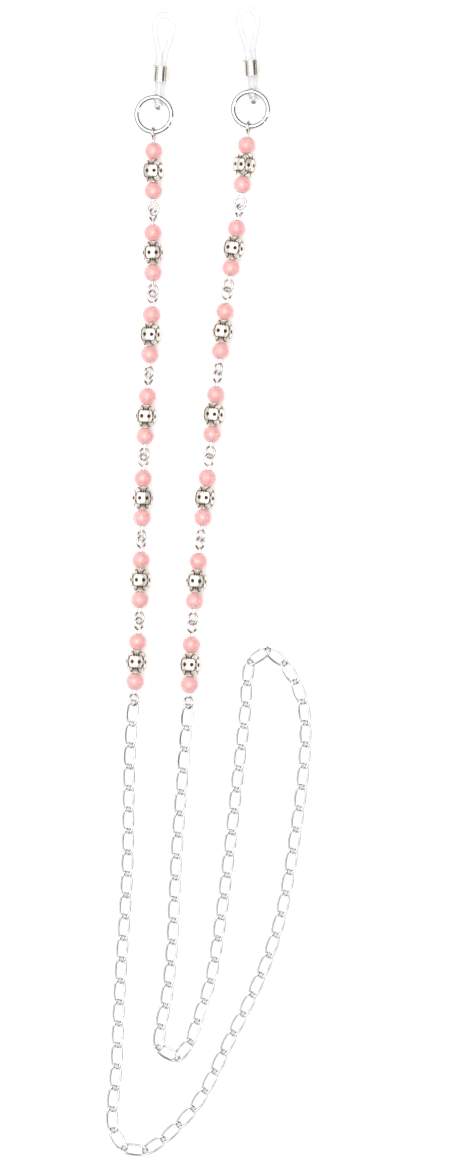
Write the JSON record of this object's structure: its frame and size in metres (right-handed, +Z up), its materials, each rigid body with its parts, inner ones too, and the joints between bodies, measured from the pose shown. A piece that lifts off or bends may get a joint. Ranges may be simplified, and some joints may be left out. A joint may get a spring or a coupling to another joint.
{
  "type": "beaded eyeglass chain",
  "caption": "Eyeglass retainer chain: silicone temple loops with coil ferrules, jump rings, beaded eye pins and a fine curb chain, lying flat.",
  "frame": {"origin": "centre of the footprint on the surface it lies on", "axes": "+Z up from the surface, +Y towards the two temple loops, +X to the right seen from above"},
  "size_m": [0.0468, 0.2613, 0.005],
  "materials": {
    "silicone": "clear silicone rubber",
    "spring_wire": "bright drawn wire",
    "ring_wire": "polished silver plate",
    "pin_wire": "polished silver plate",
    "pink_bead": "glossy, slightly translucent",
    "antique_silver": "bright silver with darkened recesses",
    "curb_links": "polished silver plate"
  },
  "bodies": {
    "chain_segment_01": {"chain_segment_01": "curb_links"},
    "chain_segment_02": {"chain_segment_02": "curb_links"},
    "chain_segment_03": {"chain_segment_03": "curb_links"},
    "chain_segment_04": {"chain_segment_04": "curb_links"},
    "chain_segment_05": {"chain_segment_05": "curb_links"},
    "chain_segment_06": {"chain_segment_06": "curb_links"},
    "chain_segment_07": {"chain_segment_07": "curb_links"},
    "chain_segment_08": {"chain_segment_08": "curb_links"},
    "chain_segment_09": {"chain_segment_09": "curb_links"},
    "chain_segment_10": {"chain_segment_10": "curb_links"},
    "chain_segment_11": {"chain_segment_11": "curb_links"},
    "chain_segment_12": {"chain_segment_12": "curb_links"},
    "eye_pin_left_7": {"eye_pin_left_7": "pin_wire"},
    "beads_left_7": {"pink_beads_left_7": "pink_bead", "metal_bead_left_7": "antique_silver"},
    "eye_pin_left_6": {"eye_pin_left_6": "pin_wire"},
    "beads_left_6": {"pink_beads_left_6": "pink_bead", "metal_bead_left_6": "antique_silver"},
    "eye_pin_left_5": {"eye_pin_left_5": "pin_wire"},
    "beads_left_5": {"pink_beads_left_5": "pink_bead", "metal_bead_left_5": "antique_silver"},
    "eye_pin_left_4": {"eye_pin_left_4": "pin_wire"},
    "beads_left_4": {"pink_beads_left_4": "pink_bead", "metal_bead_left_4": "antique_silver"},
    "eye_pin_left_3": {"eye_pin_left_3": "pin_wire"},
    "beads_left_3": {"pink_beads_left_3": "pink_bead", "metal_bead_left_3": "antique_silver"},
    "eye_pin_left_2": {"eye_pin_left_2": "pin_wire"},
    "beads_left_2": {"pink_beads_left_2": "pink_bead", "metal_bead_left_2": "antique_silver"},
    "eye_pin_left_1": {"eye_pin_left_1": "pin_wire"},
    "beads_left_1": {"pink_beads_left_1": "pink_bead", "metal_bead_left_1": "antique_silver"},
    "jump_ring_left": {"jump_ring_left": "ring_wire"},
    "silicone_loop_left": {"silicone_loop_left": "silicone"},
    "coil_left": {"coil_left": "spring_wire"},
    "eye_pin_right_7": {"eye_pin_right_7": "pin_wire"},
    "beads_right_7": {"pink_beads_right_7": "pink_bead", "metal_bead_right_7": "antique_silver"},
    "eye_pin_right_6": {"eye_pin_right_6": "pin_wire"},
    "beads_right_6": {"pink_beads_right_6": "pink_bead", "metal_bead_right_6": "antique_silver"},
    "eye_pin_right_5": {"eye_pin_right_5": "pin_wire"},
    "beads_right_5": {"pink_beads_right_5": "pink_bead", "metal_bead_right_5": "antique_silver"},
    "eye_pin_right_4": {"eye_pin_right_4": "pin_wire"},
    "beads_right_4": {"pink_beads_right_4": "pink_bead", "metal_bead_right_4": "antique_silver"},
    "eye_pin_right_3": {"eye_pin_right_3": "pin_wire"},
    "beads_right_3": {"pink_beads_right_3": "pink_bead", "metal_bead_right_3": "antique_silver"},
    "eye_pin_right_2": {"eye_pin_right_2": "pin_wire"},
    "beads_right_2": {"pink_beads_right_2": "pink_bead", "metal_bead_right_2": "antique_silver"},
    "eye_pin_right_1": {"eye_pin_right_1": "pin_wire"},
    "beads_right_1": {"pink_beads_right_1": "pink_bead", "metal_bead_right_1": "antique_silver"},
    "jump_ring_right": {"jump_ring_right": "ring_wire"},
    "silicone_loop_right": {"silicone_loop_right": "silicone"},
    "coil_right": {"coil_right": "spring_wire"}
  },
  "joints": [
    {"name": "chain_joint_06", "type": "hinge", "parent": "chain_segment_07", "child": "chain_segment_06", "pos_m": [0.02198, -0.03228, 0.00082], "axis": [-0.9983, -0.0585, 0], "range_deg": [-50, 50]},
    {"name": "chain_joint_05", "type": "hinge", "parent": "chain_segment_06", "child": "chain_segment_05", "pos_m": [0.01905, -0.06131, 0.00082], "axis": [0.9887, -0.1499, 0], "range_deg": [-50, 50]},
    {"name": "chain_joint_04", "type": "hinge", "parent": "chain_segment_05", "child": "chain_segment_04", "pos_m": [0.00985, -0.09397, 0.00082], "axis": [-0.9057, 0.4239, 0], "range_deg": [-50, 50]},
    {"name": "chain_joint_03", "type": "hinge", "parent": "chain_segment_04", "child": "chain_segment_03", "pos_m": [-0.00679, -0.12351, 0.00082], "axis": [0.7131, -0.7011, 0], "range_deg": [-50, 50]},
    {"name": "chain_joint_02", "type": "hinge", "parent": "chain_segment_03", "child": "chain_segment_02", "pos_m": [-0.02041, -0.09567, 0.00082], "axis": [0.9988, -0.0492, 0], "range_deg": [-50, 50]},
    {"name": "chain_joint_01", "type": "hinge", "parent": "chain_segment_02", "child": "chain_segment_01", "pos_m": [-0.01843, -0.06165, 0.00082], "axis": [-0.9997, 0.0256, 0], "range_deg": [-50, 50]},
    {"name": "chain_joint_07", "type": "hinge", "parent": "chain_segment_07", "child": "chain_segment_08", "pos_m": [0.00786, -0.0329, 0.00082], "axis": [0.9943, -0.1064, 0], "range_deg": [-50, 50]},
    {"name": "chain_joint_08", "type": "hinge", "parent": "chain_segment_08", "child": "chain_segment_09", "pos_m": [0.00457, -0.06193, 0.00082], "axis": [-0.9931, 0.117, 0], "range_deg": [-50, 50]},
    {"name": "chain_joint_09", "type": "hinge", "parent": "chain_segment_09", "child": "chain_segment_10", "pos_m": [0.00033, -0.09082, 0.00082], "axis": [0.9718, -0.2358, 0], "range_deg": [-50, 50]},
    {"name": "chain_joint_10", "type": "hinge", "parent": "chain_segment_10", "child": "chain_segment_11", "pos_m": [-0.00918, -0.09166, 0.00082], "axis": [0.9921, -0.1258, 0], "range_deg": [-50, 50]},
    {"name": "chain_joint_11", "type": "hinge", "parent": "chain_segment_11", "child": "chain_segment_12", "pos_m": [-0.00737, -0.06252, 0.00082], "axis": [-0.9982, 0.0602, 0], "range_deg": [-50, 50]},
    {"name": "strand_end_left", "type": "hinge", "parent": "chain_segment_01", "child": "eye_pin_left_7", "pos_m": [-0.01704, -0.02714, 0.00255], "axis": [0.7116, 0.0134, -0.7025], "range_deg": [-60, 60]},
    {"name": "bead_spin_left_7", "type": "hinge", "parent": "eye_pin_left_7", "child": "beads_left_7", "pos_m": [-0.01646, -0.01835, 0.0025], "axis": [-0.0684, -0.9977, 0], "continuous": true},
    {"name": "eye_joint_left_6", "type": "hinge", "parent": "eye_pin_left_7", "child": "eye_pin_left_6", "pos_m": [-0.01578, -0.00845, 0.0025], "axis": [-0.7177, 0.0492, 0.6947], "range_deg": [-60, 60]},
    {"name": "bead_spin_left_6", "type": "hinge", "parent": "eye_pin_left_6", "child": "beads_left_6", "pos_m": [-0.01556, 0.0002, 0.0025], "axis": [-0.0284, -0.9996, 0], "continuous": true},
    {"name": "eye_joint_left_5", "type": "hinge", "parent": "eye_pin_left_6", "child": "eye_pin_left_5", "pos_m": [-0.01527, 0.01012, 0.0025], "axis": [0.6689, -0.019, -0.7431], "range_deg": [-60, 60]},
    {"name": "bead_spin_left_5", "type": "hinge", "parent": "eye_pin_left_5", "child": "beads_left_5", "pos_m": [-0.01504, 0.01877, 0.0025], "axis": [-0.0275, -0.9996, 0], "continuous": true},
    {"name": "eye_joint_left_4", "type": "hinge", "parent": "eye_pin_left_5", "child": "eye_pin_left_4", "pos_m": [-0.01476, 0.02869, 0.0025], "axis": [-0.7877, 0.0217, 0.6157], "range_deg": [-60, 60]},
    {"name": "bead_spin_left_4", "type": "hinge", "parent": "eye_pin_left_4", "child": "beads_left_4", "pos_m": [-0.01422, 0.03732, 0.0025], "axis": [-0.0608, -0.9982, 0], "continuous": true},
    {"name": "eye_joint_left_3", "type": "hinge", "parent": "eye_pin_left_4", "child": "eye_pin_left_3", "pos_m": [-0.01361, 0.04722, 0.0025], "axis": [0.6145, -0.0374, -0.788], "range_deg": [-60, 60]},
    {"name": "bead_spin_left_3", "type": "hinge", "parent": "eye_pin_left_3", "child": "beads_left_3", "pos_m": [-0.0132, 0.05586, 0.0025], "axis": [-0.0486, -0.9988, 0], "continuous": true},
    {"name": "eye_joint_left_2", "type": "hinge", "parent": "eye_pin_left_3", "child": "eye_pin_left_2", "pos_m": [-0.01272, 0.06578, 0.0025], "axis": [-0.7651, 0.0372, 0.6428], "range_deg": [-60, 60]},
    {"name": "bead_spin_left_2", "type": "hinge", "parent": "eye_pin_left_2", "child": "beads_left_2", "pos_m": [-0.01272, 0.07443, 0.0025], "axis": [-0.0036, -1, 0], "continuous": true},
    {"name": "eye_joint_left_1", "type": "hinge", "parent": "eye_pin_left_2", "child": "eye_pin_left_1", "pos_m": [-0.01268, 0.08435, 0.0025], "axis": [0.5299, -0.0019, -0.848], "range_deg": [-60, 60]},
    {"name": "bead_spin_left_1", "type": "hinge", "parent": "eye_pin_left_1", "child": "beads_left_1", "pos_m": [-0.01259, 0.093, 0.0025], "axis": [-0.0104, -0.9999, 0], "continuous": true},
    {"name": "ring_tilt_left", "type": "hinge", "parent": "eye_pin_left_1", "child": "jump_ring_left", "pos_m": [-0.01249, 0.10182, 0.00235], "axis": [0.9999, -0.0104, 0], "range_deg": [-60, 60]},
    {"name": "loop_tilt_left", "type": "hinge", "parent": "jump_ring_left", "child": "silicone_loop_left", "pos_m": [-0.01132, 0.10956, 0.00228], "axis": [-0.9583, 0.2857, -0.0024], "range_deg": [-60, 60]},
    {"name": "coil_slide_left", "type": "slide", "parent": "silicone_loop_left", "child": "coil_left", "axis": [0.0698, 0.9976, 0], "range_m": [0, 0.0028]},
    {"name": "strand_end_right", "type": "hinge", "parent": "chain_segment_12", "child": "eye_pin_right_7", "pos_m": [-0.00465, -0.02806, 0.00255], "axis": [-0.7114, -0.0207, 0.7025], "range_deg": [-60, 60]},
    {"name": "bead_spin_right_7", "type": "hinge", "parent": "eye_pin_right_7", "child": "beads_right_7", "pos_m": [-0.00421, -0.01902, 0.0025], "axis": [-0.0499, -0.9988, 0], "continuous": true},
    {"name": "eye_joint_right_6", "type": "hinge", "parent": "eye_pin_right_7", "child": "eye_pin_right_6", "pos_m": [-0.00372, -0.00911, 0.0025], "axis": [0.7184, -0.0359, -0.6947], "range_deg": [-60, 60]},
    {"name": "bead_spin_right_6", "type": "hinge", "parent": "eye_pin_right_6", "child": "beads_right_6", "pos_m": [-0.00284, -0.00007, 0.0025], "axis": [-0.0946, -0.9955, 0], "continuous": true},
    {"name": "eye_joint_right_5", "type": "hinge", "parent": "eye_pin_right_6", "child": "eye_pin_right_5", "pos_m": [-0.0019, 0.00981, 0.0025], "axis": [-0.6661, 0.0633, 0.7431], "range_deg": [-60, 60]},
    {"name": "bead_spin_right_5", "type": "hinge", "parent": "eye_pin_right_5", "child": "beads_right_5", "pos_m": [-0.00087, 0.01884, 0.0025], "axis": [-0.1127, -0.9936, 0], "continuous": true},
    {"name": "eye_joint_right_4", "type": "hinge", "parent": "eye_pin_right_5", "child": "eye_pin_right_4", "pos_m": [0.00025, 0.0287, 0.0025], "axis": [0.783, -0.0888, -0.6157], "range_deg": [-60, 60]},
    {"name": "bead_spin_right_4", "type": "hinge", "parent": "eye_pin_right_4", "child": "beads_right_4", "pos_m": [0.00112, 0.03774, 0.0025], "axis": [-0.0971, -0.9953, 0], "continuous": true},
    {"name": "eye_joint_right_3", "type": "hinge", "parent": "eye_pin_right_4", "child": "eye_pin_right_3", "pos_m": [0.00209, 0.04762, 0.0025], "axis": [-0.6128, 0.0598, 0.788], "range_deg": [-60, 60]},
    {"name": "bead_spin_right_3", "type": "hinge", "parent": "eye_pin_right_3", "child": "beads_right_3", "pos_m": [0.00314, 0.05665, 0.0025], "axis": [-0.115, -0.9934, 0], "continuous": true},
    {"name": "eye_joint_right_2", "type": "hinge", "parent": "eye_pin_right_3", "child": "eye_pin_right_2", "pos_m": [0.00428, 0.0665, 0.0025], "axis": [0.761, -0.0881, -0.6428], "range_deg": [-60, 60]},
    {"name": "bead_spin_right_2", "type": "hinge", "parent": "eye_pin_right_2", "child": "beads_right_2", "pos_m": [0.00562, 0.07549, 0.0025], "axis": [-0.1465, -0.9892, 0], "continuous": true},
    {"name": "eye_joint_right_1", "type": "hinge", "parent": "eye_pin_right_2", "child": "eye_pin_right_1", "pos_m": [0.00708, 0.08531, 0.0025], "axis": [-0.5242, 0.0776, 0.848], "range_deg": [-60, 60]},
    {"name": "bead_spin_right_1", "type": "hinge", "parent": "eye_pin_right_1", "child": "beads_right_1", "pos_m": [0.00806, 0.09434, 0.0025], "axis": [-0.1101, -0.9939, 0], "continuous": true},
    {"name": "ring_tilt_right", "type": "hinge", "parent": "eye_pin_right_1", "child": "jump_ring_right", "pos_m": [0.00903, 0.10311, 0.00235], "axis": [-0.9939, 0.1101, 0], "range_deg": [-60, 60]},
    {"name": "loop_tilt_right", "type": "hinge", "parent": "jump_ring_right", "child": "silicone_loop_right", "pos_m": [0.01004, 0.11094, 0.00228], "axis": [0.9895, -0.1447, 0.0003], "range_deg": [-60, 60]},
    {"name": "coil_slide_right", "type": "slide", "parent": "silicone_loop_right", "child": "coil_right", "axis": [-0.0698, 0.9976, 0], "range_m": [0, 0.0028]}
  ]
}
